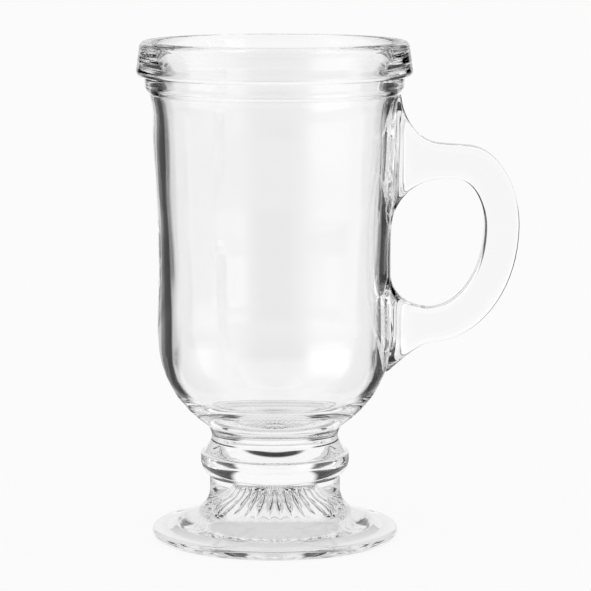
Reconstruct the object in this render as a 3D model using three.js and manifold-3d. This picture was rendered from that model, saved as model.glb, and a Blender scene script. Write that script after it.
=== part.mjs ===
// Footed glass mug for Irish coffee, in clear pressed glass: a bowl with a banded rim,
// a short knopped stem, a hollow fluted foot and a flat D-shaped handle.
// Millimetres, +Z up. The origin lies on the table, under the middle of the whole outline.
// The handle points to +X.

import * as THREE from 'three';
import { mergeVertices } from 'three/addons/utils/BufferGeometryUtils.js';
import Module from 'manifold-3d';

const wasm = await Module();
wasm.setup();

// Heights of the three stacked pieces: 146 mm together
const FOOT_HEIGHT = 18.4;
const STEM_HEIGHT = 12.1;
const BOWL_HEIGHT = 115.5;

// Foot: a low dome with a rounded edge, slopes in degrees above the horizontal
const FOOT_RADIUS = 36.3;
const FOOT_EDGE_ROUND = 1.7;
const FOOT_EDGE_HEIGHT = 3.4;
const DOME_EDGE_SLOPE = 12;
const DOME_ROOT_SLOPE = 27;
const FLARE_RADIUS = 23.6;
const FLARE_HEIGHT = 7.4;
const FOOT_COLLAR_RADIUS = 19.2;
const FOOT_COLLAR_HEIGHT = 4.6;

// Hollow under the foot, inside a flat ring to rest on, with radial flutes pressed up into its vault
const REST_RING_WIDTH = 3.6;
const HOLLOW_STEP = 1.5;
const HOLLOW_STEP_WIDTH = 3;
const HOLLOW_DEPTH = 14.8;
const HOLLOW_CEILING_RADIUS = 8;
const HOLLOW_CEILING_SLOPE = 70;
const HOLLOW_SHOULDER_RADIUS = 19;
const HOLLOW_SHOULDER_HEIGHT = 4.5;
const HOLLOW_WALL_SLOPE = 30;
const FLUTE_COUNT = 28;
const FLUTE_DEPTH = 1.2;
const FLUTE_INNER_RADIUS = 3;
const FLUTE_OUTER_RADIUS = 16.5;

// Below 1 the flutes are deepest near their inner ends
const FLUTE_RISE = 0.55;

// Stem: a round knop with a stepped shoulder, which leads to the neck. Heights from its base
const NECK_RADIUS = 18.7;
const KNOP_SEAT_RADIUS = 19.6;
const KNOP_RADIUS = 21.85;
const KNOP_LOW = 4.4;
const KNOP_HIGH = 6.5;
const KNOP_SLOPE = 46;
const KNOP_SHOULDER_RADIUS = 20.9;
const KNOP_SHOULDER_STEP = 0.6;
const KNOP_SHOULDER_HEIGHT = 11;
const KNOP_SHOULDER_SLOPE = 60;

// Bowl outside, heights from its base and slopes in degrees above the horizontal
const UNDERSIDE_RADIUS = 20.85;
const UNDERSIDE_HEIGHT = 3.5;
const UNDERSIDE_SLOPE = 36;
const BELLY_RADIUS = 34.4;
const BELLY_HEIGHT = 29.3;
const WAIST_RADIUS = 33.9;
const WAIST_HEIGHT = 52;
const SHOULDER_RADIUS = 35.4;
const SHOULDER_DEPTH = 22.5;
const COLLAR_RADIUS = 37.7;
const COLLAR_HEIGHT = 2.4;
const COLLAR_STEP = 1;
const COLLAR_STEP_HEIGHT = 2.2;
const COLLAR_STEP_SLOPE = 35;
const NECKING_SLOPE = 65;
const BAND_RADIUS = 40.2;
const BAND_HEIGHT = 10.4;
const BAND_UNDERCUT = 1.8;
const RIM_OUTER_RADIUS = 39.3;
const RIM_INNER_RADIUS = 35.7;
const RIM_ROUND = 2.1;

// Bowl inside, a smooth taper that ends in a rounded bottom
const WALL = 3.1;
const BELLY_WALL = 3.9;
const BASE_THICKNESS = 6.3;
const INNER_FLAT_RADIUS = 6;

// Handle: a flat band with rounded edges, bent into a D, whose roots spread on the bowl's wall.
// Its heights count from the bowl's base
const HANDLE_REACH = 71.4;
const HANDLE_BAND = 10.2;
const HANDLE_THICKNESS = 8.5;
const HANDLE_EDGE_ROUND = 1.2;
const HANDLE_TOP = 85.7;
const HANDLE_BOTTOM = 27.3;
const HANDLE_NOSE_HEIGHT = 61.5;
const UPPER_ARM_LENGTH = 9;
const UPPER_ARM_FALL = 0.7;
const UPPER_ROOT_SPREAD = 14.3;
const UPPER_ROOT_RISE = 14.8;
const UPPER_CORNER_DROP = 15.5;
const LOWER_ROOT_SPREAD = 11;
const LOWER_ROOT_DROP = 9.1;
const LOWER_ROOT_SLOPE = 48;
const LOWER_ROOT_TUCK = 1.4;
const LOWER_CORNER_RISE = 10;
const ROOT_FLARE = 2.2;
const ROOT_FLARE_LENGTH = 6;
const ROOT_END_ROUND = 6;
const HANDLE_CLEARANCE = 0.3;

// How far the uncut handle reaches into the bowl's wall and past it
const ROOT_DEPTH = 9;

// Headings of an outline in degrees
const OUT = 0;
const UP = 90;
const IN = 180;
const DOWN = 270;

// Fullness of a bend: near 0.55 it is a quarter of an ellipse, and less is flatter
const ROUND_BEND = 0.55;
const FULL_BEND = 0.65;
const SLACK_BEND = 0.5;
const INNER_BEND = 0.72;
const EASE = 0.4;

// Fineness of the faceted model
const ROUND_STEPS = 60;
const STEPS_PER_FLUTE = 2;
const FACET_LENGTH = 4.5;
const FEWEST_STEPS = 3;
const ROOT_STEPS = 7;
const UPPER_BEND_STEPS = 10;
const LOWER_BEND_STEPS = 10;
const HANDLE_EDGE_STEPS = 3;

// Finish of the glass
const GLASS_SHADE = 0.95;
const GLASS_ROUGHNESS = 0.03;
const GLASS_OPACITY = 0.35;

// Where the pieces stand
const STEM_BASE = FOOT_HEIGHT;
const BOWL_BASE = FOOT_HEIGHT + STEM_HEIGHT;
const WIDEST_RADIUS = Math.max(BAND_RADIUS, FOOT_RADIUS, BELLY_RADIUS, COLLAR_RADIUS);
const GLASS_AXIS_X = (WIDEST_RADIUS - HANDLE_REACH) / 2;

function heading(degrees) {
    const angle = THREE.MathUtils.degToRad(degrees);
    return new THREE.Vector2(Math.cos(angle), Math.sin(angle));
}

// A bend from the path's last point, between two headings whose lines cross on its outer side
function bend(path, leaves, x, y, arrives, fullness) {
    const from = path.currentPoint.clone();
    const start = heading(leaves);
    const finish = heading(arrives);
    const gap = new THREE.Vector2(x, y).sub(from);
    const crossing = start.cross(finish);
    const first = start.clone().multiplyScalar((gap.cross(finish) / crossing) * fullness);
    const last = finish.clone().multiplyScalar((start.cross(gap) / crossing) * fullness);
    path.bezierCurveTo(from.x + first.x, from.y + first.y, x - last.x, y - last.y, x, y);
}

// An S-shaped change of radius that leaves and arrives upright
function ease(path, x, y) {
    const from = path.currentPoint.clone();
    const pull = (y - from.y) * EASE;
    path.bezierCurveTo(from.x, from.y + pull, x, y - pull, x, y);
}

// The corners of a path, with more of them along its longer bends
function samplePath(path) {
    const corners = path.curves.flatMap((curve) => {
        const bendSteps = Math.max(FEWEST_STEPS, Math.ceil(curve.getLength() / FACET_LENGTH));
        return curve.getPoints(curve.isLineCurve ? 1 : bendSteps).slice(1);
    });
    return [path.getPoint(0), ...corners];
}

// A solid of revolution about +Z from a path of radius and height
function revolve(path, steps) {
    const geometry = new THREE.LatheGeometry(samplePath(path), steps);
    geometry.rotateX(Math.PI / 2);
    return geometry;
}

// The bowl's outside from the edge of its flat base to the foot of the rim's round
function drawBowlOutside(path, grown) {
    const bandBase = BOWL_HEIGHT - BAND_HEIGHT;
    const collarBase = bandBase - COLLAR_HEIGHT;
    const neckingTop = collarBase - COLLAR_STEP_HEIGHT;
    const neckingRadius = COLLAR_RADIUS - COLLAR_STEP + grown;

    bend(path, UP, UNDERSIDE_RADIUS + grown, UNDERSIDE_HEIGHT, UNDERSIDE_SLOPE, ROUND_BEND);
    bend(path, UNDERSIDE_SLOPE, BELLY_RADIUS + grown, BELLY_HEIGHT, UP, FULL_BEND);
    ease(path, WAIST_RADIUS + grown, WAIST_HEIGHT);
    ease(path, SHOULDER_RADIUS + grown, BOWL_HEIGHT - SHOULDER_DEPTH);
    bend(path, UP, neckingRadius, neckingTop, NECKING_SLOPE, ROUND_BEND);
    bend(path, COLLAR_STEP_SLOPE, COLLAR_RADIUS + grown, collarBase, UP, ROUND_BEND);
    path.lineTo(COLLAR_RADIUS + grown, bandBase);
    bend(path, OUT, BAND_RADIUS + grown, bandBase + BAND_UNDERCUT, UP, FULL_BEND);
    path.lineTo(RIM_OUTER_RADIUS + grown, BOWL_HEIGHT - RIM_ROUND);
}

function makeBowl() {
    const crown = (RIM_OUTER_RADIUS + RIM_INNER_RADIUS) / 2;
    const path = new THREE.Path();
    path.moveTo(0, 0);
    path.lineTo(NECK_RADIUS, 0);
    drawBowlOutside(path, 0);
    bend(path, UP, crown, BOWL_HEIGHT, IN, ROUND_BEND);
    bend(path, IN, RIM_INNER_RADIUS, BOWL_HEIGHT - RIM_ROUND, DOWN, ROUND_BEND);

    // The inside narrows behind the band and the collar, then tapers to the rounded bottom
    ease(path, SHOULDER_RADIUS - WALL, BOWL_HEIGHT - SHOULDER_DEPTH);
    path.lineTo(WAIST_RADIUS - WALL, WAIST_HEIGHT);
    path.lineTo(BELLY_RADIUS - BELLY_WALL, BELLY_HEIGHT);
    bend(path, DOWN, INNER_FLAT_RADIUS, BASE_THICKNESS, IN, INNER_BEND);
    path.lineTo(0, BASE_THICKNESS);
    return revolve(path, ROUND_STEPS);
}

function makeStem() {
    const path = new THREE.Path();
    path.moveTo(0, 0);
    path.lineTo(KNOP_SEAT_RADIUS, 0);
    bend(path, KNOP_SLOPE, KNOP_RADIUS, KNOP_LOW, UP, ROUND_BEND);
    path.lineTo(KNOP_RADIUS, KNOP_HIGH);
    bend(path, UP, KNOP_SHOULDER_RADIUS, KNOP_HIGH + KNOP_SHOULDER_STEP, IN, ROUND_BEND);
    bend(path, UP, NECK_RADIUS, KNOP_SHOULDER_HEIGHT, IN - KNOP_SHOULDER_SLOPE, ROUND_BEND);
    path.lineTo(NECK_RADIUS, STEM_HEIGHT);
    path.lineTo(0, STEM_HEIGHT);
    return revolve(path, ROUND_STEPS);
}

// The flutes are pressed up into the hollow's vault, with sharp creases between them
function pressFlutes(geometry) {
    const position = geometry.getAttribute('position');
    const zone = FLUTE_OUTER_RADIUS - FLUTE_INNER_RADIUS;
    const middle = (HOLLOW_DEPTH + FOOT_HEIGHT) / 2;
    for (let i = 0; i < position.count; i += 1) {
        const x = position.getX(i);
        const y = position.getY(i);
        const z = position.getZ(i);
        const along = (Math.hypot(x, y) - FLUTE_INNER_RADIUS) / zone;
        if (along > 0 && along < 1 && z < middle) {
            const hollowed = Math.abs(Math.cos((FLUTE_COUNT / 2) * Math.atan2(y, x)));
            position.setZ(i, z + FLUTE_DEPTH * hollowed * Math.sin(Math.PI * along ** FLUTE_RISE));
        }
    }
    return geometry;
}

function makeFoot() {
    const restOuter = FOOT_RADIUS - FOOT_EDGE_ROUND;
    const restInner = restOuter - REST_RING_WIDTH;
    const path = new THREE.Path();
    path.moveTo(0, HOLLOW_DEPTH);
    path.lineTo(FLUTE_INNER_RADIUS, HOLLOW_DEPTH);
    path.lineTo(HOLLOW_CEILING_RADIUS, HOLLOW_DEPTH);
    bend(
        path, -HOLLOW_CEILING_SLOPE,
        HOLLOW_SHOULDER_RADIUS, HOLLOW_SHOULDER_HEIGHT, -HOLLOW_WALL_SLOPE, ROUND_BEND,
    );
    bend(path, -HOLLOW_WALL_SLOPE, restInner - HOLLOW_STEP_WIDTH, HOLLOW_STEP, OUT, ROUND_BEND);
    path.lineTo(restInner, 0);
    path.lineTo(restOuter, 0);
    bend(path, OUT, FOOT_RADIUS, FOOT_EDGE_ROUND, UP, ROUND_BEND);
    bend(path, UP, FOOT_RADIUS - FOOT_EDGE_ROUND, FOOT_EDGE_HEIGHT, IN, ROUND_BEND);
    bend(path, IN - DOME_EDGE_SLOPE, FLARE_RADIUS, FLARE_HEIGHT, IN - DOME_ROOT_SLOPE, ROUND_BEND);
    bend(path, IN - DOME_ROOT_SLOPE, FOOT_COLLAR_RADIUS, FOOT_HEIGHT - FOOT_COLLAR_HEIGHT, UP, ROUND_BEND);
    path.lineTo(FOOT_COLLAR_RADIUS, FOOT_HEIGHT);
    path.lineTo(0, FOOT_HEIGHT);
    return pressFlutes(revolve(path, FLUTE_COUNT * STEPS_PER_FLUTE));
}

// A closed geometry as a solid: equal corners are merged, and the flat triangles at a pole are dropped
function toSolid(geometry) {
    const bare = geometry.clone();
    bare.deleteAttribute('normal');
    bare.deleteAttribute('uv');
    const merged = mergeVertices(bare);
    const corners = merged.getIndex().array;
    const faces = [];
    for (let i = 0; i < corners.length; i += 3) {
        const [a, b, c] = corners.slice(i, i + 3);
        if (a !== b && b !== c && c !== a) {
            faces.push(a, b, c);
        }
    }
    return new wasm.Manifold(new wasm.Mesh({
        numProp: 3,
        vertProperties: new Float32Array(merged.getAttribute('position').array),
        triVerts: new Uint32Array(faces),
    }));
}

function toGeometry(solid) {
    const mesh = solid.getMesh();
    const geometry = new THREE.BufferGeometry();
    geometry.setAttribute('position', new THREE.BufferAttribute(mesh.vertProperties, 3));
    geometry.setIndex(new THREE.BufferAttribute(mesh.triVerts, 1));
    geometry.computeVertexNormals();
    return geometry;
}

// One stretch of the handle's edge, sampled evenly: x from the glass axis, y above the bowl's base
function stretch(fromX, fromY, steps, draw) {
    const path = new THREE.Path();
    path.moveTo(fromX, fromY);
    draw(path);
    return path.getSpacedPoints(steps);
}

// The stretches as one row of points, with one more at each end inside the bowl's wall
function joinEdge(stretches) {
    const points = stretches.flatMap((part, i) => (i === 0 ? part : part.slice(1)));
    const rootX = WAIST_RADIUS - ROOT_DEPTH;
    const first = new THREE.Vector2(rootX, points[0].y);
    const last = new THREE.Vector2(rootX, points[points.length - 1].y);
    return [first, ...points, last];
}

function drawOuterEdge() {
    const armStart = WAIST_RADIUS + UPPER_ROOT_SPREAD;
    const lowerStart = WAIST_RADIUS + LOWER_ROOT_SPREAD;
    const upperRoot = HANDLE_TOP + UPPER_ROOT_RISE;
    const lowerRoot = HANDLE_BOTTOM - LOWER_ROOT_DROP;
    return joinEdge([
        stretch(COLLAR_RADIUS - COLLAR_STEP, upperRoot, ROOT_STEPS, (path) => {
            bend(path, DOWN, armStart, HANDLE_TOP, OUT, SLACK_BEND);
        }),
        stretch(armStart, HANDLE_TOP, UPPER_BEND_STEPS, (path) => {
            path.lineTo(armStart + UPPER_ARM_LENGTH, HANDLE_TOP - UPPER_ARM_FALL);
            bend(path, OUT, HANDLE_REACH, HANDLE_NOSE_HEIGHT, DOWN, ROUND_BEND);
        }),
        stretch(HANDLE_REACH, HANDLE_NOSE_HEIGHT, LOWER_BEND_STEPS, (path) => {
            bend(path, DOWN, lowerStart, HANDLE_BOTTOM, IN, ROUND_BEND);
        }),
        stretch(lowerStart, HANDLE_BOTTOM, ROOT_STEPS, (path) => {
            bend(path, IN, BELLY_RADIUS - LOWER_ROOT_TUCK, lowerRoot, IN + LOWER_ROOT_SLOPE, ROUND_BEND);
        }),
    ]);
}

function drawInnerEdge() {
    const armStart = WAIST_RADIUS + UPPER_ROOT_SPREAD;
    const lowerStart = WAIST_RADIUS + LOWER_ROOT_SPREAD;
    const gapTop = HANDLE_TOP - HANDLE_BAND;
    const gapBottom = HANDLE_BOTTOM + HANDLE_BAND;
    const gapReach = HANDLE_REACH - HANDLE_BAND;
    return joinEdge([
        stretch(WAIST_RADIUS, gapTop - UPPER_CORNER_DROP, ROOT_STEPS, (path) => {
            bend(path, UP, armStart, gapTop, OUT, ROUND_BEND);
        }),
        stretch(armStart, gapTop, UPPER_BEND_STEPS, (path) => {
            bend(path, OUT, gapReach, HANDLE_NOSE_HEIGHT, DOWN, ROUND_BEND);
        }),
        stretch(gapReach, HANDLE_NOSE_HEIGHT, LOWER_BEND_STEPS, (path) => {
            bend(path, DOWN, lowerStart, gapBottom, IN, ROUND_BEND);
        }),
        stretch(lowerStart, gapBottom, ROOT_STEPS, (path) => {
            bend(path, IN, WAIST_RADIUS, gapBottom + LOWER_CORNER_RISE, UP, ROUND_BEND);
        }),
    ]);
}

// The corners of a section across the band, counted round it. Each is a quarter round of size 1:
// how far its points lie in from the edge, and in from the side
function drawBandSection() {
    const corners = [
        { onOuter: true, side: 1, opens: true },
        { onOuter: true, side: -1, opens: false },
        { onOuter: false, side: -1, opens: true },
        { onOuter: false, side: 1, opens: false },
    ];
    const section = [];
    for (const { onOuter, side, opens } of corners) {
        for (let i = 0; i <= HANDLE_EDGE_STEPS; i += 1) {
            const turned = i / HANDLE_EDGE_STEPS;
            const angle = (Math.PI / 2) * (opens ? 1 - turned : turned);
            section.push({ onOuter, side, fromEdge: 1 - Math.cos(angle), fromSide: 1 - Math.sin(angle) });
        }
    }
    return section;
}

// The band is lofted through its sections. Near the wall they widen and their corners grow round
function makeBand() {
    const outer = drawOuterEdge();
    const inner = drawInnerEdge();
    const section = drawBandSection();
    const positions = [];
    outer.forEach((outerPoint, k) => {
        const across = outerPoint.clone().sub(inner[k]).normalize();
        for (const { onOuter, side, fromEdge, fromSide } of section) {
            const edge = onOuter ? outerPoint : inner[k];
            const inward = onOuter ? -1 : 1;
            const fromWall = Math.max(0, edge.x - WAIST_RADIUS);
            const nearness = Math.max(0, 1 - fromWall / ROOT_FLARE_LENGTH) ** 2;
            const half = HANDLE_THICKNESS / 2 + ROOT_FLARE * nearness;
            const round = HANDLE_EDGE_ROUND + (ROOT_END_ROUND - HANDLE_EDGE_ROUND) * nearness;
            const point = across.clone().multiplyScalar(inward * round * fromEdge).add(edge);
            positions.push(point.x, side * (half - round * fromSide), point.y);
        }
    });

    const ring = section.length;
    const last = (outer.length - 1) * ring;
    const faces = [];
    for (let k = 0; k < last; k += ring) {
        for (let i = 0; i < ring; i += 1) {
            const next = (i + 1) % ring;
            faces.push(k + i, k + next, k + ring + i);
            faces.push(k + next, k + ring + next, k + ring + i);
        }
    }
    for (let i = 1; i < ring - 1; i += 1) {
        faces.push(0, i + 1, i);
        faces.push(last, last + i, last + i + 1);
    }
    const geometry = new THREE.BufferGeometry();
    geometry.setAttribute('position', new THREE.Float32BufferAttribute(positions, 3));
    geometry.setIndex(faces);
    return geometry;
}

// The bowl's own outside, grown by the clearance, cuts the roots to the wall's curve
function makeHandle() {
    const wall = new THREE.Path();
    wall.moveTo(0, 0);
    wall.lineTo(NECK_RADIUS + HANDLE_CLEARANCE, 0);
    drawBowlOutside(wall, HANDLE_CLEARANCE);
    wall.lineTo(0, BOWL_HEIGHT - RIM_ROUND);
    return toGeometry(toSolid(makeBand()).subtract(toSolid(revolve(wall, ROUND_STEPS))));
}

function clearGlass() {
    return new THREE.MeshStandardMaterial({
        color: new THREE.Color(GLASS_SHADE, GLASS_SHADE, GLASS_SHADE),
        roughness: GLASS_ROUGHNESS,
        metalness: 0,
        transparent: true,
        opacity: GLASS_OPACITY,
    });
}

function addPiece(group, name, geometry, height) {
    const mesh = new THREE.Mesh(geometry, clearGlass());
    mesh.name = name;
    mesh.position.z = height;
    group.add(mesh);
}

const glass = new THREE.Group();
glass.position.x = GLASS_AXIS_X;
addPiece(glass, 'foot', makeFoot(), 0);
addPiece(glass, 'stem', makeStem(), STEM_BASE);
addPiece(glass, 'bowl', makeBowl(), BOWL_BASE);
addPiece(glass, 'handle', makeHandle(), BOWL_BASE);

const mug = new THREE.Group();
mug.add(glass);

export default mug;
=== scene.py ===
"""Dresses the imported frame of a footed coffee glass: four pieces of clear glass in a pale studio.

Metres, +Z up, in the frame's own axes. The handle points to +X and the front faces -Y.
"""

import math

import bmesh
import bpy
from bpy.props import FloatProperty, IntProperty, PointerProperty
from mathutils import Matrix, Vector
from mathutils.bvhtree import BVHTree
from mathutils.geometry import interpolate_bezier


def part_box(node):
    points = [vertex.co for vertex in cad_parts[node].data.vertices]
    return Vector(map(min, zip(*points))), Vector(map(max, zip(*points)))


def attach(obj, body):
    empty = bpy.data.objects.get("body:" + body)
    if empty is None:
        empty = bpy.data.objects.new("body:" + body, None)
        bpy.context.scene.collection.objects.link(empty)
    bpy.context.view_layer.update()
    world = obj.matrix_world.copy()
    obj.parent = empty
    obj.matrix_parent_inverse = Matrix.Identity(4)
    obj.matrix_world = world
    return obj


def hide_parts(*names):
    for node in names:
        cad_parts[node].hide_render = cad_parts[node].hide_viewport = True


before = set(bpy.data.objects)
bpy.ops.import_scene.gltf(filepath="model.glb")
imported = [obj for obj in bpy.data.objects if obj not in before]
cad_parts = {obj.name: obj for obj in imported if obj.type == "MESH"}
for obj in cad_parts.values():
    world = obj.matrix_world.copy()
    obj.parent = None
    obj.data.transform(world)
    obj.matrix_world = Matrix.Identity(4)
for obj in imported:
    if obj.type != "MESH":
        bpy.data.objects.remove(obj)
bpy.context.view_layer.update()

bl_info = {
    "name": "Footed Coffee Glass",
    "version": (1, 0, 0),
    "blender": (4, 5, 0),
    "location": "3D View > Sidebar > Coffee Glass",
    "description": "Builds a footed, handled coffee glass and the studio round it",
    "category": "Add Mesh",
}

MM = 0.001
BODY = "root"

# Headings of an outline in degrees
OUT = 0
UP = 90
IN = 180
DOWN = 270

# Fullness of a bend: near 0.55 it is a quarter of an ellipse, and less is flatter
ROUND_BEND = 0.55
FULL_BEND = 0.65
SLACK_BEND = 0.5
EASE = 0.4

# Fineness of the meshes
PROFILE_STEPS = 8
ROUND_STEPS = 192
FLUTE_STEPS = 12
STATIONS_PER_STRETCH = 9
CORNER_STEPS = 4
WELD = 0.002 * MM
SMOOTH_ANGLE = math.radians(35)

# Faces this near to level belong to a flat joint
LEVEL_NORMAL = 0.99

# A slanted direction, so that a test ray meets no edge of the band
TEST_DIRECTION = Vector((0.013, 1, 0.017)).normalized()

# The second material slot holds the unseen faces
FUSED_SLOT = 1

# Light: a patch that begins at some reach is full at this many times it
WHITE = (1, 1, 1, 1)
SOFT_GROWTH = 1.5

# Where the frame's nodes stand
AXIS_X = (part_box("foot")[0].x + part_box("foot")[1].x) / 2
STEM_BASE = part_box("stem")[0].z
BOWL_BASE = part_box("bowl")[0].z
BOWL_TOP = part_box("bowl")[1].z


def length(name, description, millimetres):
    """A length property whose default is given in millimetres."""
    return FloatProperty(
        name=name, description=description, default=millimetres * MM, unit="LENGTH", precision=5)


def level(name, description, value):
    """A brightness property, 1 for white."""
    return FloatProperty(name=name, description=description, default=value, min=0)


def angle(name, description, degrees):
    """A bearing or a width in degrees."""
    return FloatProperty(name=name, description=description, default=degrees, min=0, max=180)


def slope(name, description, degrees):
    """A slope property in degrees above the horizontal."""
    return FloatProperty(name=name, description=description, default=degrees, min=-90, max=90)


class FootSizes(bpy.types.PropertyGroup):
    """Sizes of the domed, hollow foot"""

    radius: length("Radius", "Widest radius of the rounded edge", 36.3)
    edge_round: length("Edge round", "Radius of the round under the edge", 1.7)
    edge_height: length("Edge height", "Height of the dome at the edge", 3.4)
    dome_edge_slope: slope("Dome slope at the edge", "Slope of the dome where it leaves the edge", 12)
    dome_root_slope: slope("Dome slope at the flare", "Slope of the dome where the flare begins", 27)
    flare_radius: length("Flare radius", "Radius where the dome turns up to the stem", 23.6)
    flare_height: length("Flare height", "Height where the dome turns up to the stem", 7.4)
    collar_radius: length("Collar radius", "Radius of the plain collar under the stem", 19.2)
    collar_drop: length("Collar drop", "Height of the collar below the joint", 4.6)
    rest_width: length("Rest ring width", "Width of the flat ring that the foot rests on", 3.6)
    step: length("Step", "Height of the step inside the rest ring", 1.5)
    step_width: length("Step width", "Width of the step inside the rest ring", 3)
    depth: length("Hollow depth", "Depth of the hollow under the foot", 14.8)
    ceiling_radius: length("Ceiling radius", "Radius of the hollow's flat ceiling", 8)
    ceiling_slope: slope("Ceiling slope", "Slope of the hollow's wall at its ceiling", 70)
    shoulder_radius: length("Shoulder radius", "Radius where the hollow's wall meets its rim", 19)
    shoulder_height: length("Shoulder height", "Height where the hollow's wall meets its rim", 4.5)
    wall_slope: slope("Wall slope", "Slope of the hollow's wall at its shoulder", 30)
    flute_inner: length("Flute inner radius", "Radius where the flutes begin", 3)
    flute_outer: length("Flute outer radius", "Radius where the flutes end", 16.5)
    flute_rise: FloatProperty(
        name="Flute rise", description="Below 1 the flutes are deepest near their inner ends", default=0.55)
    flute_depth: length("Flute depth", "Depth of the pressed flutes", 1.2)
    flute_count: IntProperty(
        name="Flutes", description="Number of radial flutes in the hollow", default=28, min=8)


class StemSizes(bpy.types.PropertyGroup):
    """Sizes of the knopped stem, heights from its base"""

    neck_radius: length("Neck radius", "Radius of the neck under the bowl", 18.7)
    seat_radius: length("Seat radius", "Radius of the knop's lower end", 19.6)
    knop_radius: length("Knop radius", "Radius of the knop", 21.85)
    knop_low: length("Knop low", "Height where the knop's upright part begins", 4.4)
    knop_high: length("Knop high", "Height where the knop's upright part ends", 6.5)
    knop_slope: slope("Knop slope", "Slope of the knop at its lower end", 46)
    shoulder_radius: length("Shoulder radius", "Radius of the knop's rounded shoulder", 20.9)
    shoulder_step: length("Shoulder step", "Height of the small step under the shoulder", 0.6)
    shoulder_height: length("Shoulder height", "Height where the shoulder meets the neck", 11)
    shoulder_slope: slope("Shoulder slope", "Slope of the shoulder where it meets the neck", 60)


class BowlSizes(bpy.types.PropertyGroup):
    """Sizes of the bowl, heights from its base"""

    neck_radius: length("Neck radius", "Radius of the neck under the bowl", 18.7)
    underside_radius: length("Underside radius", "Radius where the underside turns out of the neck", 20.85)
    underside_height: length("Underside height", "Height where the underside turns out of the neck", 3.5)
    underside_slope: slope("Underside slope", "Slope of the underside there", 36)
    belly_radius: length("Belly radius", "Radius of the belly", 34.4)
    belly_height: length("Belly height", "Height of the belly", 29.3)
    waist_radius: length("Waist radius", "Radius of the waist", 33.9)
    waist_height: length("Waist height", "Height of the waist", 52)
    shoulder_radius: length("Shoulder radius", "Radius under the rim's flare", 35.4)
    shoulder_drop: length("Shoulder drop", "Distance of that place below the rim's top", 22.5)
    necking_slope: slope("Necking slope", "Slope of the flare under the collar", 65)
    collar_radius: length("Collar radius", "Radius of the collar under the band", 37.7)
    collar_height: length("Collar height", "Height of the collar", 2.4)
    collar_step: length("Collar step", "How far the collar stands out of the flare", 1)
    collar_step_height: length("Collar step height", "Height of the collar's rounded underside", 2.2)
    collar_step_slope: slope("Collar step slope", "Slope where the collar leaves the flare", 35)
    band_radius: length("Band radius", "Widest radius of the rim's band", 40.2)
    band_height: length("Band height", "Height of the rim's band", 10.4)
    band_undercut: length("Band undercut", "Height of the band's rounded lower edge", 1.8)
    rim_outer: length("Rim outer radius", "Radius of the band where the rim's round begins", 39.3)
    rim_inner: length("Rim inner radius", "Inner radius of the rim", 35.7)
    rim_round: length("Rim round", "Height of the rim's round", 2.1)
    wall: length("Wall", "Thickness of the wall", 3.1)
    belly_wall: length("Belly wall", "Thickness of the wall at the belly", 3.9)
    base: length("Base", "Thickness of the glass in the bottom", 6.3)
    inner_flat: length("Inner flat radius", "Radius of the flat middle of the inner bottom", 6)
    inner_bend: FloatProperty(
        name="Inner bend", description="Fullness of the inner bottom's bend", default=0.72)


class HandleSizes(bpy.types.PropertyGroup):
    """Sizes of the D-shaped handle, heights from the bowl's base and reaches from the glass's axis"""

    reach: length("Reach", "Farthest reach of the handle from the glass's axis", 71.4)
    band: length("Band", "Width of the handle's band, seen from the front", 10.2)
    thickness: length("Thickness", "Thickness of the band, seen from the side", 8.5)
    edge_round: length("Edge round", "Radius of the band's edges", 1.2)
    top: length("Top", "Height of the upper arm", 85.7)
    bottom: length("Bottom", "Height of the lower arm", 27.3)
    nose_height: length("Nose height", "Height of the farthest place", 61.5)
    arm_length: length("Arm length", "Length of the straight upper arm", 9)
    arm_fall: length("Arm fall", "Fall of the upper arm over its length", 0.7)
    upper_spread: length("Upper root spread", "How far the upper root spreads from the wall", 14.3)
    upper_rise: length("Upper root rise", "How far the upper root climbs the wall", 14.8)
    upper_corner: length("Upper corner drop", "How far the gap's upper corner runs down the wall", 15.5)
    lower_spread: length("Lower root spread", "How far the lower root spreads from the wall", 11)
    lower_drop: length("Lower root drop", "How far the lower root runs down the wall", 9.1)
    lower_slope: slope("Lower root slope", "Slope of the lower root where it meets the wall", 48)
    lower_tuck: length("Lower root tuck", "How far inside the belly's radius the lower root ends", 1.4)
    lower_corner: length("Lower corner rise", "How far the gap's lower corner runs up the wall", 10)
    flare: length("Root flare", "How much each side of the band spreads at the wall", 2.2)
    flare_length: length("Root flare length", "How far from the wall the spread begins", 6)
    end_round: length("Root end round", "Radius of the band's edges at the wall", 6)
    root_depth: length("Root depth", "How far the uncut band reaches into the wall", 9)


class GlassFinish(bpy.types.PropertyGroup):
    """Finish of the clear pressed glass"""

    # The tint is the glass's own faint grey, deepened on the body for painted shade. The handle's copy of
    # the same glass is left clear, which is painted light.
    tint: bpy.props.FloatVectorProperty(
        name="Tint", description="Colour of light through the glass", subtype="COLOR",
        size=4, default=(0.973, 0.973, 0.973, 1), min=0, max=1)
    handle_painted_light_tint: bpy.props.FloatVectorProperty(
        name="Handle tint", description="Colour of light through the handle", subtype="COLOR",
        size=4, default=(1, 1, 1, 1), min=0, max=1)
    ior: FloatProperty(
        name="Index of refraction", description="How strongly the glass bends light", default=1.52)
    roughness: FloatProperty(
        name="Roughness", description="Haze of the fire-polished surface", default=0, min=0)
    ripple_size: length("Ripple size", "Distance between the pressed surface's ripples", 14)
    ripple_depth: length("Ripple depth", "Depth of the pressed surface's ripples", 0.08)


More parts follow.
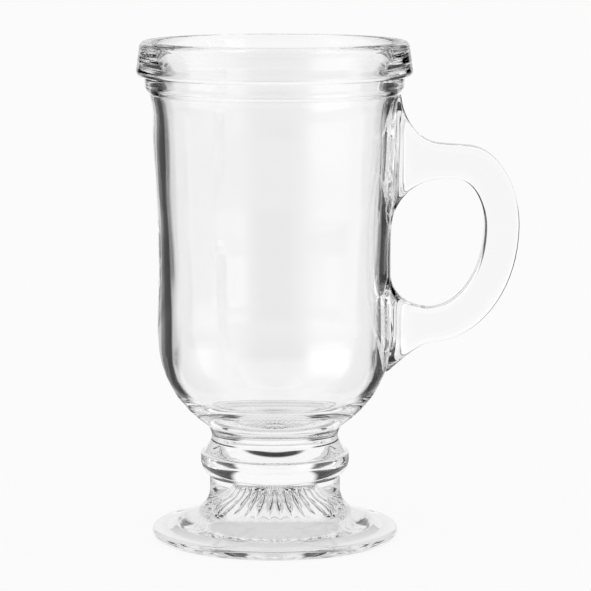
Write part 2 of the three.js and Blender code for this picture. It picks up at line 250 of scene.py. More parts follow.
class Studio(bpy.types.PropertyGroup):
    """Camera, floor and light. Bearings are degrees from straight behind the glass, either way
    where no side is named. Reaches count from the glass's axis, and a level of 1 is white"""

    distance: length("Camera distance", "Distance of the camera in front of the glass's axis", 881.25)
    height: length("Camera height", "Height of the camera above the floor", 194.63)
    aside: length("Camera aside", "How far the camera stands right of the glass's axis", 6.07)
    pitch: slope("Camera pitch", "How far the camera looks down", 7.96)
    lens: FloatProperty(name="Lens", description="Focal length on a 36 mm sensor, in mm", default=185.04)
    background: level("Background", "Level of the pale background", 0.975)
    floor_size: FloatProperty(name="Floor size", description="Side of the floor", default=8, unit="LENGTH")
    floor_shade: level("Floor shade", "Share of the floor's light that the glass can shade", 0.06)
    table: level("Table", "Level of the table, which the glass refracts and reflects", 1)
    room: level("Room", "Level of the room in reflections", 0.84)
    edge: angle("Edge softness", "Width of the soft edges of the cards and of the back shade", 6)
    card_start: angle("Card start", "Bearing where the dark cards begin", 28)
    card_end: angle("Card end", "Bearing where the dark cards end", 70)
    card_top: slope("Card top", "Height of the dark cards' upper edge", 46)
    card_level: level("Card level", "Level of the dark cards", 0)
    card_floor_level: level("Card floor level", "Level of the cards' dark on the floor", 0.03)
    card_floor_start: angle("Card floor start", "Bearing where the cards' dark on the floor begins", 27)
    card_floor_edge: angle("Card floor edge", "Width of that dark's soft sides", 8)
    card_floor_end: angle("Card floor end", "Bearing where that dark ends", 60)
    card_near_gap: length("Card near gap", "Reach where that dark begins in reflections", 60)
    card_gap: length("Card gap", "Reach where that dark begins seen through the glass", 300)
    front: angle("Front", "Bearing where the dark front of the room begins", 120)
    front_edge: angle("Front edge", "Width of the soft edge of the dark front", 40)
    front_level: level("Front level", "Level of the dark front of the room", 0.06)
    overhead: slope("Overhead", "Height where the ceiling begins", 50)
    overhead_edge: angle("Overhead edge", "Width of the ceiling's soft edge", 14)
    overhead_level: level("Overhead level", "Level of the ceiling", 0.9)
    front_glow: slope("Front glow", "Height up to which the dark front takes light from the table", 30)
    front_low_level: level("Front low level", "Level of the front at the horizon", 0.56)
    # The darker front of the table is painted shade on the floor's glow, seen in reflections.
    table_front: angle("Table front", "Bearing where the darker front of the table begins", 128)
    table_front_edge: angle("Table front edge", "Width of its soft edge", 46)
    table_front_gap: length("Table front gap", "Reach where it begins", 180)
    table_front_level: level("Table front level", "Level of the front of the table", 0.15)
    left_pool_start: angle("Left pool start", "Bearing where the light pool at the left begins", 103)
    left_pool_end: angle("Left pool end", "Bearing where it ends", 111)
    left_pool_near: length("Left pool near", "Reach where it begins", 170)
    left_pool_far: length("Left pool far", "Reach where it ends", 300)
    left_pool_level: level("Left pool level", "Level of the light pool at the left", 1.7)
    left_dim_start: angle("Left dim start", "Bearing where the dimmer left of the table begins", 96)
    left_dim_end: angle("Left dim end", "Bearing where it ends", 140)
    left_dim_near: length("Left dim near", "Reach where it begins", 380)
    left_dim_far: length("Left dim far", "Reach where it ends", 1300)
    left_dim_level: level("Left dim level", "Level of the dimmer left of the table", 0.45)
    right_pool_start: angle("Right pool start", "Bearing where the light pool at the right begins", 112)
    right_pool_end: angle("Right pool end", "Bearing where it ends", 138)
    right_pool_near: length("Right pool near", "Reach where it begins", 170)
    right_pool_far: length("Right pool far", "Reach where it ends", 290)
    right_pool_level: level("Right pool level", "Level of the light pool at the right", 2.5)
    far_pool_near: length("Far pool near", "Reach where the far part of the right pool begins", 760)
    far_pool_far: length("Far pool far", "Reach where the far part ends", 2600)
    far_pool_level: level("Far pool level", "Level of the far part", 1.35)
    pool_edge: length("Pool edge", "Width of the near pools' and the dim's soft edges", 60)
    far_edge: length("Far edge", "Width of the far part's soft edges", 240)
    pool_turn: angle("Pool turn", "Width of the pools' soft sides", 16)
    shade_end: angle("Shade end", "Bearing where the narrow shade behind the foot ends", 6)
    shade_near: length("Shade near", "Reach where that shade begins", 48.4)
    shade_far: length("Shade far", "Reach where that shade ends", 50.2)
    shade_edge: length("Shade edge", "Width of that shade's soft edges", 1.2)
    shade_level: level("Shade level", "Level of that shade", 0)
    under_reach: length("Under reach", "Radius of the shade under the foot", 24)
    under_edge: length("Under edge", "Width of that shade's soft edge", 16)
    under_level: level("Under level", "Level of the shade under the foot", 0.71)
    turns: IntProperty(
        name="Turns", description="How often light may turn inside the glass", default=32, min=1)


class Outline:
    """An outline in the plane of radius and height, as Bezier segments."""

    def __init__(self, x, z):
        start = Vector((x, z))
        self.knots = [[start, start, start]]

    def add(self, leaving, arriving, at):
        self.knots[-1][2] = leaving
        self.knots.append([arriving, at, at])

    def line(self, x, z):
        at = Vector((x, z))
        start = self.knots[-1][1]
        self.add(start.lerp(at, 1 / 3), start.lerp(at, 2 / 3), at)

    def bend(self, leaves, x, z, arrives, fullness=ROUND_BEND):
        """A bend between two headings whose lines cross on its outer side."""
        at = Vector((x, z))
        start = self.knots[-1][1]
        leaving = heading(leaves)
        arriving = heading(arrives)
        gap = at - start
        crossing = cross(leaving, arriving)
        first = leaving * (cross(gap, arriving) / crossing * fullness)
        last = arriving * (cross(leaving, gap) / crossing * fullness)
        self.add(start + first, at - last, at)

    def ease(self, x, z):
        """An S-shaped change of radius that leaves and arrives upright."""
        at = Vector((x, z))
        start = self.knots[-1][1]
        pull = Vector((0, (at.y - start.y) * EASE))
        self.add(start + pull, at - pull, at)

    def sample(self, steps):
        """Points along the outline, with the same number of steps in each segment."""
        points = [self.knots[0][1]]
        for before, after in zip(self.knots, self.knots[1:]):
            points += interpolate_bezier(before[1], before[2], after[0], after[1], steps + 1)[1:]
        return points


def heading(degrees):
    turn = math.radians(degrees)
    return Vector((math.cos(turn), math.sin(turn)))


def cross(a, b):
    return a.x * b.y - a.y * b.x


def deselect():
    if bpy.context.mode != "OBJECT":
        bpy.ops.object.mode_set(mode="OBJECT")
    bpy.ops.object.select_all(action="DESELECT")


def activate(piece):
    """Makes a piece the only selected and the active one."""
    deselect()
    piece.select_set(True)
    bpy.context.view_layer.objects.active = piece


def spin_outline(name, outline, base, round_steps=ROUND_STEPS):
    """Draws the outline as a curve, makes it a mesh and spins it about the glass's axis."""
    deselect()
    bpy.ops.curve.primitive_bezier_curve_add(location=(0, 0, 0))
    curve = bpy.context.object
    curve.name = name
    curve.data.resolution_u = PROFILE_STEPS
    points = curve.data.splines[0].bezier_points
    points.add(len(outline.knots) - len(points))
    for point, knot in zip(points, outline.knots):
        places = [Vector((AXIS_X + at.x, 0, base + at.y)) for at in knot]
        point.handle_left_type = point.handle_right_type = "FREE"
        point.handle_left, point.co, point.handle_right = places
    bpy.ops.object.convert(target="MESH")
    piece = bpy.context.object
    bpy.ops.object.mode_set(mode="EDIT")
    bpy.ops.mesh.select_all(action="SELECT")
    bpy.ops.mesh.spin(steps=round_steps, angle=math.tau, center=(AXIS_X, 0, 0), axis=(0, 0, 1))
    bpy.ops.mesh.select_all(action="SELECT")
    bpy.ops.mesh.remove_doubles(threshold=WELD)
    bpy.ops.mesh.normals_make_consistent(inside=False)
    bpy.ops.object.mode_set(mode="OBJECT")
    piece.data.name = name
    return piece


def paint(piece, *materials):
    piece.data.materials.clear()
    for material in materials:
        piece.data.materials.append(material)


def fuse_joint(piece, height):
    """Gives the flat joint face at a height the finish of fused glass, which isn't seen."""
    for face in piece.data.polygons:
        if abs(face.center.z - height) < WELD and abs(face.normal.z) > LEVEL_NORMAL:
            face.material_index = FUSED_SLOT


def smooth(piece):
    activate(piece)
    bpy.ops.object.shade_smooth_by_angle(angle=SMOOTH_ANGLE)


def finish_piece(piece, node):
    smooth(piece)
    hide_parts(node)
    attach(piece, BODY)
    deselect()


def new_material(name):
    material = bpy.data.materials.new(name)
    material.use_nodes = True
    tree = material.node_tree
    tree.nodes.clear()
    return material, tree


def add_node(tree, kind, **settings):
    node = tree.nodes.new(kind)
    for key, value in settings.items():
        setattr(node, key, value)
    return node


def calculate(tree, operation, *values):
    """A math node fed with sockets or constants."""
    node = add_node(tree, "ShaderNodeMath", operation=operation)
    for socket, value in zip(node.inputs, values):
        feed(tree, socket, value)
    return node.outputs[0]


def feed(tree, socket, value):
    if isinstance(value, bpy.types.NodeSocket):
        tree.links.new(value, socket)
    else:
        socket.default_value = value


def ramp(tree, value, start, end, low=0.0, high=1.0):
    """A smooth change from the low to the high level while the value goes from start to end."""
    node = add_node(tree, "ShaderNodeMapRange", interpolation_type="SMOOTHSTEP")
    settings = {"Value": value, "From Min": start, "From Max": end, "To Min": low, "To Max": high}
    for name, given in settings.items():
        feed(tree, node.inputs[name], given)
    return node.outputs[0]


def blend(tree, factor, before, after):
    node = add_node(tree, "ShaderNodeMix", data_type="FLOAT")
    feed(tree, node.inputs["Factor"], factor)
    feed(tree, node.inputs["A"], before)
    feed(tree, node.inputs["B"], after)
    return node.outputs[0]


def window(tree, value, start, end, edge):
    """1 while the value lies between the two ends, 0 past their soft edges."""
    rise = ramp(tree, value, start - edge, start)
    fall = ramp(tree, value, end + edge, end)
    return calculate(tree, "MULTIPLY", rise, fall)


def find_bearing(tree, x, y):
    """Degrees from straight behind the glass, more than 0 to the right."""
    return calculate(tree, "MULTIPLY", calculate(tree, "ARCTAN2", x, y), math.degrees(1))


def find_reach(tree, x, y):
    """Distance from the glass's axis."""
    squares = calculate(tree, "ADD", calculate(tree, "MULTIPLY", x, x), calculate(tree, "MULTIPLY", y, y))
    return calculate(tree, "SQRT", squares)


def find_mirrored(tree, rays):
    """1 for light that was reflected on its way, 0 for light that only came through."""
    return calculate(tree, "MINIMUM", rays.outputs["Glossy Depth"], 1)


def clear_glass(name, tint):
    """Colourless fire-polished glass with the faint ripples of pressing."""
    found = bpy.data.materials.get(name)
    if found:
        return found
    finish = bpy.context.scene.glass_finish
    material, tree = new_material(name)
    output = add_node(tree, "ShaderNodeOutputMaterial")
    glass = add_node(tree, "ShaderNodeBsdfPrincipled")
    glass.inputs["Base Color"].default_value = tint
    glass.inputs["Roughness"].default_value = finish.roughness
    glass.inputs["IOR"].default_value = finish.ior
    glass.inputs["Transmission Weight"].default_value = 1
    place = add_node(tree, "ShaderNodeTexCoord")
    ripple = add_node(tree, "ShaderNodeTexNoise")
    ripple.inputs["Scale"].default_value = 1 / finish.ripple_size
    ripple.inputs["Detail"].default_value = 0
    bump = add_node(tree, "ShaderNodeBump")
    bump.inputs["Distance"].default_value = finish.ripple_depth
    tree.links.new(place.outputs["Object"], ripple.inputs["Vector"])
    tree.links.new(ripple.outputs["Fac"], bump.inputs["Height"])
    tree.links.new(bump.outputs["Normal"], glass.inputs["Normal"])
    tree.links.new(glass.outputs["BSDF"], output.inputs["Surface"])
    return material


def body_glass():
    return clear_glass("clear_pressed_glass", bpy.context.scene.glass_finish.tint)


# The handle's clear copy of the body's glass, lighter than the body's: painted light.
def handle_glass():
    return clear_glass("clear_handle_glass", bpy.context.scene.glass_finish.handle_painted_light_tint)


def fused_glass():
    """The unseen faces where two pieces are hot-joined into one body of glass."""
    found = bpy.data.materials.get("fused_joint")
    if found:
        return found
    material, tree = new_material("fused_joint")
    output = add_node(tree, "ShaderNodeOutputMaterial")
    clear = add_node(tree, "ShaderNodeBsdfTransparent")
    tree.links.new(clear.outputs["BSDF"], output.inputs["Surface"])
    return material


def draw_bowl_outside(outline, sizes):
    """The bowl's outside from the neck to the foot of the rim's round."""
    height = BOWL_TOP - BOWL_BASE
    band_base = height - sizes.band_height
    collar_base = band_base - sizes.collar_height
    necking_top = collar_base - sizes.collar_step_height
    necking_radius = sizes.collar_radius - sizes.collar_step
    outline.bend(UP, sizes.underside_radius, sizes.underside_height, sizes.underside_slope)
    outline.bend(sizes.underside_slope, sizes.belly_radius, sizes.belly_height, UP, FULL_BEND)
    outline.ease(sizes.waist_radius, sizes.waist_height)
    outline.ease(sizes.shoulder_radius, height - sizes.shoulder_drop)
    outline.bend(UP, necking_radius, necking_top, sizes.necking_slope)
    outline.bend(sizes.collar_step_slope, sizes.collar_radius, collar_base, UP)
    outline.line(sizes.collar_radius, band_base)
    outline.bend(OUT, sizes.band_radius, band_base + sizes.band_undercut, UP, FULL_BEND)
    outline.line(sizes.rim_outer, height - sizes.rim_round)


def make_wall_envelope(sizes):
    """The bowl's outside as a full solid, which cuts the handle's roots."""
    outline = Outline(0, 0)
    outline.line(sizes.neck_radius, 0)
    draw_bowl_outside(outline, sizes)
    outline.line(0, BOWL_TOP - BOWL_BASE - sizes.rim_round)
    return spin_outline("wall_envelope", outline, BOWL_BASE)


def make_handle_edges(sizes, bowl):
    """The D's outer and inner edge, as two rows of points that face each other."""
    wall = bowl.waist_radius
    root = wall - sizes.root_depth
    arm_start = wall + sizes.upper_spread
    arm_end = arm_start + sizes.arm_length
    lower_start = wall + sizes.lower_spread
    upper_root = sizes.top + sizes.upper_rise
    lower_root = sizes.bottom - sizes.lower_drop
    gap_top = sizes.top - sizes.band
    gap_bottom = sizes.bottom + sizes.band
    gap_reach = sizes.reach - sizes.band
    upper_corner = gap_top - sizes.upper_corner
    lower_corner = gap_bottom + sizes.lower_corner
    arm_slope = math.degrees(math.atan2(sizes.arm_fall, sizes.arm_length))
    arm_middle = (arm_start + arm_end) / 2

    outer = Outline(root, upper_root)
    outer.line(bowl.collar_radius - bowl.collar_step, upper_root)
    outer.bend(DOWN, arm_start, sizes.top, OUT, SLACK_BEND)
    outer.line(arm_end, sizes.top - sizes.arm_fall)
    outer.bend(-arm_slope, sizes.reach, sizes.nose_height, -UP)
    outer.bend(DOWN, lower_start, sizes.bottom, IN)
    outer.bend(IN, bowl.belly_radius - sizes.lower_tuck, lower_root, IN + sizes.lower_slope)
    outer.line(root, lower_root)

    inner = Outline(root, upper_corner)
    inner.line(wall, upper_corner)
    inner.bend(UP, arm_start, gap_top, OUT)
    inner.line(arm_middle, gap_top)
    inner.bend(OUT, gap_reach, sizes.nose_height, -UP)
    inner.bend(DOWN, lower_start, gap_bottom, IN)
    inner.bend(IN, wall, lower_corner, UP)
    inner.line(root, lower_corner)
    return outer.sample(STATIONS_PER_STRETCH), inner.sample(STATIONS_PER_STRETCH)


def make_band(sizes, bowl):
    """The uncut handle: a section with round corners, extruded from station to station."""
    outer, inner = make_handle_edges(sizes, bowl)
    corners = []
    quarters = ((True, 1, True), (True, -1, False), (False, -1, True), (False, 1, False))
    for on_outer, side, opens in quarters:
        for step in range(CORNER_STEPS + 1):
            turned = step / CORNER_STEPS
            turn = math.pi / 2 * (1 - turned if opens else turned)
            corners.append((on_outer, side, 1 - math.cos(turn), 1 - math.sin(turn)))

    mesh = bmesh.new()
    rings = []
    for outer_point, inner_point in zip(outer, inner):
        across = (outer_point - inner_point).normalized()
        ring = []
        for on_outer, side, from_edge, from_side in corners:
            edge = outer_point if on_outer else inner_point
            from_wall = max(0, edge.x - bowl.waist_radius)
            nearness = max(0, 1 - from_wall / sizes.flare_length) ** 2
            half = sizes.thickness / 2 + sizes.flare * nearness
            rounding = sizes.edge_round + (sizes.end_round - sizes.edge_round) * nearness
            at = edge + across * rounding * from_edge * (-1 if on_outer else 1)
            depth = side * (half - rounding * from_side)
            ring.append(mesh.verts.new((AXIS_X + at.x, depth, BOWL_BASE + at.y)))
        rings.append(ring)
    for before, after in zip(rings, rings[1:]):
        for i, corner in enumerate(before):
            following = (i + 1) % len(before)
            mesh.faces.new((corner, before[following], after[following], after[i]))
    mesh.faces.new(reversed(rings[0]))
    mesh.faces.new(rings[-1])
    bmesh.ops.recalc_face_normals(mesh, faces=mesh.faces)
    data = bpy.data.meshes.new("handle")
    mesh.to_mesh(data)
    mesh.free()
    band = bpy.data.objects.new("handle", data)
    bpy.context.collection.objects.link(band)
    return band


def apply_modifier(piece, kind, **settings):
    activate(piece)
    modifier = piece.modifiers.new(kind.lower(), kind)
    for key, value in settings.items():
        setattr(modifier, key, value)
    bpy.ops.object.modifier_apply(modifier=modifier.name)


def press_footprint(piece, band):
    """Cuts the outline of the handle's roots into the bowl and fuses the faces inside it."""
    inside = BVHTree.FromObject(band, bpy.context.evaluated_depsgraph_get())
    activate(band)
    bpy.ops.object.duplicate()
    cutter = bpy.context.object
    guide = bpy.data.materials.new("cutting_guide")
    paint(cutter, guide)
    activate(piece)
    cutter.select_set(True)
    bpy.ops.object.join()
    guide_slot = piece.data.materials.find(guide.name)
    select_slot(piece, guide_slot)
    bpy.ops.object.mode_set(mode="EDIT")
    bpy.ops.mesh.intersect(mode="SELECT_UNSELECT", separate_mode="NONE", solver="EXACT")
    bpy.ops.object.mode_set(mode="OBJECT")
    select_slot(piece, guide_slot)
    bpy.ops.object.mode_set(mode="EDIT")
    bpy.ops.mesh.delete(type="FACE")
    bpy.ops.mesh.select_all(action="SELECT")
    bpy.ops.mesh.delete_loose()
    bpy.ops.object.mode_set(mode="OBJECT")
    piece.data.materials.pop(index=guide_slot)
    bpy.data.materials.remove(guide)
    for face in piece.data.polygons:
        outward = Vector((face.center.x - AXIS_X, face.center.y, 0))
        if outward.x > 0 and face.normal.dot(outward) > 0 and is_inside(inside, face.center):
            face.material_index = FUSED_SLOT


def select_slot(piece, slot):
    """Selects the faces with a material slot, and nothing else."""
    activate(piece)
    bpy.ops.object.mode_set(mode="EDIT")
    bpy.ops.mesh.select_mode(type="FACE")
    bpy.ops.mesh.select_all(action="DESELECT")
    bpy.ops.object.mode_set(mode="OBJECT")
    for face in piece.data.polygons:
        face.select = face.material_index == slot


def is_inside(tree, point):
    """Whether a ray to the side meets the closed surface an odd number of times."""
    crossings = 0
    start = point.copy()
    while True:
        hit, _, _, _ = tree.ray_cast(start, TEST_DIRECTION)
        if hit is None:
            return crossings % 2 == 1
        crossings += 1
        start = hit + TEST_DIRECTION * WELD


class MUG_OT_make_foot(bpy.types.Operator):
    """Spin the domed foot and press the flutes into its hollow"""

    bl_idname = "mug.make_foot"
    bl_label = "Make foot"

    def execute(self, context):
        sizes = context.scene.foot_sizes
        rest_outer = sizes.radius - sizes.edge_round
        rest_inner = rest_outer - sizes.rest_width
        outline = Outline(0, sizes.depth)
        outline.line(sizes.flute_inner, sizes.depth)
        outline.line(sizes.ceiling_radius, sizes.depth)
        outline.bend(-sizes.ceiling_slope, sizes.shoulder_radius, sizes.shoulder_height, -sizes.wall_slope)
        outline.bend(-sizes.wall_slope, rest_inner - sizes.step_width, sizes.step, OUT)
        outline.line(rest_inner, 0)
        outline.line(rest_outer, 0)
        outline.bend(OUT, sizes.radius, sizes.edge_round, UP)
        outline.bend(UP, rest_outer, sizes.edge_height, IN)
        dome_root = IN - sizes.dome_root_slope
        outline.bend(IN - sizes.dome_edge_slope, sizes.flare_radius, sizes.flare_height, dome_root)
        outline.bend(dome_root, sizes.collar_radius, STEM_BASE - sizes.collar_drop, UP)
        outline.line(sizes.collar_radius, STEM_BASE)
        outline.line(0, STEM_BASE)
        foot = spin_outline("foot_glass", outline, 0, sizes.flute_count * FLUTE_STEPS)
        self.press_flutes(foot, sizes)
        paint(foot, body_glass(), fused_glass())
        fuse_joint(foot, STEM_BASE)
        finish_piece(foot, "foot")
        return {"FINISHED"}

    def press_flutes(self, foot, sizes):
        zone = sizes.flute_outer - sizes.flute_inner
        middle = (sizes.depth + STEM_BASE) / 2
        for vertex in foot.data.vertices:
            x, y = vertex.co.x - AXIS_X, vertex.co.y
            along = (math.hypot(x, y) - sizes.flute_inner) / zone
            if 0 < along < 1 and vertex.co.z < middle:
                ridge = abs(math.cos(sizes.flute_count / 2 * math.atan2(y, x)))
                vertex.co.z += sizes.flute_depth * ridge * math.sin(math.pi * along ** sizes.flute_rise)


class MUG_OT_make_stem(bpy.types.Operator):
    """Spin the stem with its stepped knop"""

    bl_idname = "mug.make_stem"
    bl_label = "Make stem"

    def execute(self, context):
        sizes = context.scene.stem_sizes
        height = BOWL_BASE - STEM_BASE
        outline = Outline(0, 0)
        outline.line(sizes.seat_radius, 0)
        outline.bend(sizes.knop_slope, sizes.knop_radius, sizes.knop_low, UP)
        outline.line(sizes.knop_radius, sizes.knop_high)
        outline.bend(UP, sizes.shoulder_radius, sizes.knop_high + sizes.shoulder_step, IN)
        outline.bend(UP, sizes.neck_radius, sizes.shoulder_height, IN - sizes.shoulder_slope)
        outline.line(sizes.neck_radius, height)
        outline.line(0, height)
        stem = spin_outline("stem_glass", outline, STEM_BASE)
        paint(stem, body_glass(), fused_glass())
        fuse_joint(stem, STEM_BASE)
        fuse_joint(stem, BOWL_BASE)
        finish_piece(stem, "stem")
        return {"FINISHED"}


class MUG_OT_make_bowl(bpy.types.Operator):
    """Spin the bowl, its wall, banded rim and thick base"""

    bl_idname = "mug.make_bowl"
    bl_label = "Make bowl"

    def execute(self, context):
        sizes = context.scene.bowl_sizes
        height = BOWL_TOP - BOWL_BASE
        crown = (sizes.rim_outer + sizes.rim_inner) / 2
        outline = Outline(0, 0)
        outline.line(sizes.neck_radius, 0)
        draw_bowl_outside(outline, sizes)
        outline.bend(UP, crown, height, IN)
        outline.bend(IN, sizes.rim_inner, height - sizes.rim_round, DOWN)
        outline.ease(sizes.shoulder_radius - sizes.wall, height - sizes.shoulder_drop)
        outline.line(sizes.waist_radius - sizes.wall, sizes.waist_height)
        outline.line(sizes.belly_radius - sizes.belly_wall, sizes.belly_height)
        outline.bend(DOWN, sizes.inner_flat, sizes.base, IN, sizes.inner_bend)
        outline.line(0, sizes.base)
        bowl = spin_outline("bowl_glass", outline, BOWL_BASE)
        paint(bowl, body_glass(), fused_glass())
        fuse_joint(bowl, BOWL_BASE)
        finish_piece(bowl, "bowl")
        return {"FINISHED"}


class MUG_OT_make_handle(bpy.types.Operator):
    """Loft the handle's band, cut its roots to the bowl and fuse them with it"""

    bl_idname = "mug.make_handle"
    bl_label = "Make handle"

    def execute(self, context):
        sizes = context.scene.handle_sizes
        bowl_sizes = context.scene.bowl_sizes
        bowl = bpy.data.objects["bowl_glass"]
        band = make_band(sizes, bowl_sizes)
        apply_modifier(band, "SUBSURF", levels=1, render_levels=1)
        paint(band, handle_glass(), fused_glass())
        press_footprint(bowl, band)
        envelope = make_wall_envelope(bowl_sizes)
        paint(envelope, fused_glass())
        apply_modifier(
            band, "BOOLEAN",
            operation="DIFFERENCE", solver="EXACT", object=envelope, material_mode="TRANSFER")
        bpy.data.objects.remove(envelope)
        band.name = "handle_glass"
        smooth(bowl)
        finish_piece(band, "handle")
        return {"FINISHED"}


class MUG_OT_make_stage(bpy.types.Operator):
    """Lay the pale floor, light the studio and set the camera"""

    bl_idname = "mug.make_stage"
    bl_label = "Make stage"

    def execute(self, context):
        studio = context.scene.studio
        self.lay_floor(studio)
        self.light_world(context, studio)
        self.set_camera(context, studio)
        context.scene.view_settings.view_transform = "Standard"
        for limit in ("max_bounces", "transmission_bounces", "glossy_bounces"):
            setattr(context.scene.cycles, limit, studio.turns)
        return {"FINISHED"}

    def lay_floor(self, studio):
        """The camera sees the plain background, and the glass sees the table, whose light and shade are
        painted into the floor's glow.
        """
        deselect()
        bpy.ops.mesh.primitive_plane_add(size=studio.floor_size, location=(0, 0, 0))
        floor = bpy.context.object
        floor.name = "floor"
        material, tree = new_material("pale_floor")
        output = add_node(tree, "ShaderNodeOutputMaterial")
        rays = add_node(tree, "ShaderNodeLightPath")
        table = self.light_table(tree, studio, find_mirrored(tree, rays))
        seen = blend(tree, rays.outputs["Is Camera Ray"], table, studio.background)
        glow = add_node(tree, "ShaderNodeEmission")
        feed(tree, glow.inputs["Strength"], calculate(tree, "MULTIPLY", seen, 1 - studio.floor_shade))
        shade = add_node(tree, "ShaderNodeBsdfDiffuse")
        shade.inputs["Color"].default_value = (studio.floor_shade,) * 3 + (1,)
        both = add_node(tree, "ShaderNodeAddShader")
        tree.links.new(glow.outputs["Emission"], both.inputs[0])
        tree.links.new(shade.outputs["BSDF"], both.inputs[1])
        tree.links.new(both.outputs["Shader"], output.inputs["Surface"])
        paint(floor, material)

    def light_table(self, tree, studio, mirrored):
        """The table's level, with patches of painted light and shade laid over it one after the other.

        A patch with a share of 1 is seen through the glass too, and the others only in reflections.
        """
        place = add_node(tree, "ShaderNodeTexCoord")
        split = add_node(tree, "ShaderNodeSeparateXYZ")
        tree.links.new(place.outputs["Object"], split.inputs[0])
        x = calculate(tree, "SUBTRACT", split.outputs["X"], AXIS_X)
        y = split.outputs["Y"]
        rightward = find_bearing(tree, x, y)
        leftward = calculate(tree, "MULTIPLY", rightward, -1)
        bearing = calculate(tree, "ABSOLUTE", rightward)
        reach = find_reach(tree, x, y)
        card = window(tree, bearing, studio.card_floor_start, studio.card_floor_end, studio.card_floor_edge)
        right = window(tree, rightward, studio.right_pool_start, studio.right_pool_end, studio.pool_turn)
        # Each patch is painted into the floor's glow. The pools are painted pools of light. The cards' dark,
        # the darker front and the dim left of the table, the narrow shade behind the foot and the shade
        # under the foot are painted shade.
        patches = (
            (studio.card_floor_level, card,
             ramp(tree, reach, studio.card_gap, studio.card_gap * SOFT_GROWTH), 1),
            (studio.card_floor_level, card,
             ramp(tree, reach, studio.card_near_gap, studio.card_near_gap * SOFT_GROWTH), mirrored),
            (studio.table_front_level,
             ramp(tree, bearing, studio.table_front, studio.table_front + studio.table_front_edge),
             ramp(tree, reach, studio.table_front_gap, studio.table_front_gap * SOFT_GROWTH), mirrored),
            (studio.left_pool_level,
             window(tree, leftward, studio.left_pool_start, studio.left_pool_end, studio.pool_turn),
             window(tree, reach, studio.left_pool_near, studio.left_pool_far, studio.pool_edge), mirrored),
            (studio.left_dim_level,
             window(tree, leftward, studio.left_dim_start, studio.left_dim_end, studio.pool_turn),
             window(tree, reach, studio.left_dim_near, studio.left_dim_far, studio.pool_edge), mirrored),
            (studio.right_pool_level, right,
             window(tree, reach, studio.right_pool_near, studio.right_pool_far, studio.pool_edge), mirrored),
            (studio.far_pool_level, right,
             window(tree, reach, studio.far_pool_near, studio.far_pool_far, studio.far_edge), mirrored),
            (studio.shade_level,
             ramp(tree, bearing, studio.shade_end + studio.edge, studio.shade_end),
             window(tree, reach, studio.shade_near, studio.shade_far, studio.shade_edge), 1),
            (studio.under_level, 1,
             ramp(tree, reach, studio.under_reach + studio.under_edge, studio.under_reach), 1),
        )
        shown = studio.table
        for light, across, along, share in patches:
            patch = calculate(tree, "MULTIPLY", calculate(tree, "MULTIPLY", across, along), share)
            shown = blend(tree, patch, shown, light)
        return shown

    def light_world(self, context, studio):
        """Dark cards at both sides behind the glass, a pale ceiling and a dark front."""
        world = bpy.data.worlds.new("studio")
        context.scene.world = world
        world.use_nodes = True
        tree = world.node_tree
        tree.nodes.clear()
        output = add_node(tree, "ShaderNodeOutputWorld")
        place = add_node(tree, "ShaderNodeTexCoord")
        split = add_node(tree, "ShaderNodeSeparateXYZ")
        tree.links.new(place.outputs["Generated"], split.inputs[0])
        bearing = calculate(tree, "ABSOLUTE", find_bearing(tree, split.outputs["X"], split.outputs["Y"]))
        climb = calculate(tree, "MULTIPLY", calculate(tree, "ARCSINE", split.outputs["Z"]), math.degrees(1))
        rays = add_node(tree, "ShaderNodeLightPath")
        mirrored = find_mirrored(tree, rays)
        shown = blend(tree, mirrored, studio.table, studio.room)
        card = calculate(
            tree, "MULTIPLY",
            window(tree, bearing, studio.card_start, studio.card_end, studio.edge),
            ramp(tree, climb, studio.card_top + studio.edge, studio.card_top))
        shown = blend(tree, card, shown, studio.card_level)
        ceiling = ramp(tree, climb, studio.overhead, studio.overhead + studio.overhead_edge)
        shown = blend(tree, ceiling, shown, studio.overhead_level)
        front = calculate(
            tree, "MULTIPLY", mirrored, ramp(tree, bearing, studio.front, studio.front + studio.front_edge))
        glow = ramp(tree, climb, 0, studio.front_glow, studio.front_low_level, studio.front_level)
        shown = blend(tree, front, shown, glow)
        seen = blend(tree, rays.outputs["Is Camera Ray"], shown, studio.background)
        light = add_node(tree, "ShaderNodeBackground")
        light.inputs["Color"].default_value = WHITE
        feed(tree, light.inputs["Strength"], seen)
        tree.links.new(light.outputs[0], output.inputs["Surface"])

    def set_camera(self, context, studio):
        deselect()
        bpy.ops.object.camera_add(
            location=(AXIS_X + studio.aside, -studio.distance, studio.height),
            rotation=(math.radians(UP - studio.pitch), 0, 0))
        camera = bpy.context.object
        camera.data.lens = studio.lens
        camera.data.clip_end = studio.floor_size
        context.scene.camera = camera


class MUG_PT_panel(bpy.types.Panel):
    """Sidebar panel with the pieces of the coffee glass"""

    bl_idname = "MUG_PT_panel"
    bl_label = "Footed Coffee Glass"
    bl_space_type = "VIEW_3D"
    bl_region_type = "UI"
    bl_category = "Coffee Glass"

    def draw(self, context):
        for operator in OPERATORS:
            self.layout.operator(operator.bl_idname)


GROUPS = {
    "foot_sizes": FootSizes,
    "stem_sizes": StemSizes,
    "bowl_sizes": BowlSizes,
    "handle_sizes": HandleSizes,
    "glass_finish": GlassFinish,
    "studio": Studio,
}
OPERATORS = (MUG_OT_make_foot, MUG_OT_make_stem, MUG_OT_make_bowl, MUG_OT_make_handle, MUG_OT_make_stage)


def register():
    for group in GROUPS.values():
        bpy.utils.register_class(group)
    for name, group in GROUPS.items():
        setattr(bpy.types.Scene, name, PointerProperty(type=group))
    for operator in OPERATORS:
        bpy.utils.register_class(operator)
    bpy.utils.register_class(MUG_PT_panel)


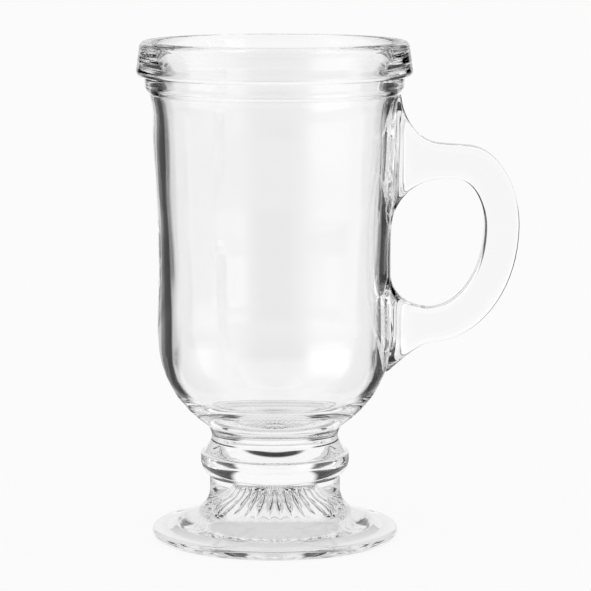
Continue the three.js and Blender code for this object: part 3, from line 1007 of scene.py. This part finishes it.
def unregister():
    bpy.utils.unregister_class(MUG_PT_panel)
    for operator in reversed(OPERATORS):
        bpy.utils.unregister_class(operator)
    for name in GROUPS:
        delattr(bpy.types.Scene, name)
    for group in reversed(GROUPS.values()):
        bpy.utils.unregister_class(group)


def main():
    register()
    bpy.ops.mug.make_foot()
    bpy.ops.mug.make_stem()
    bpy.ops.mug.make_bowl()
    bpy.ops.mug.make_handle()
    bpy.ops.mug.make_stage()


if __name__ == "__main__":
    main()
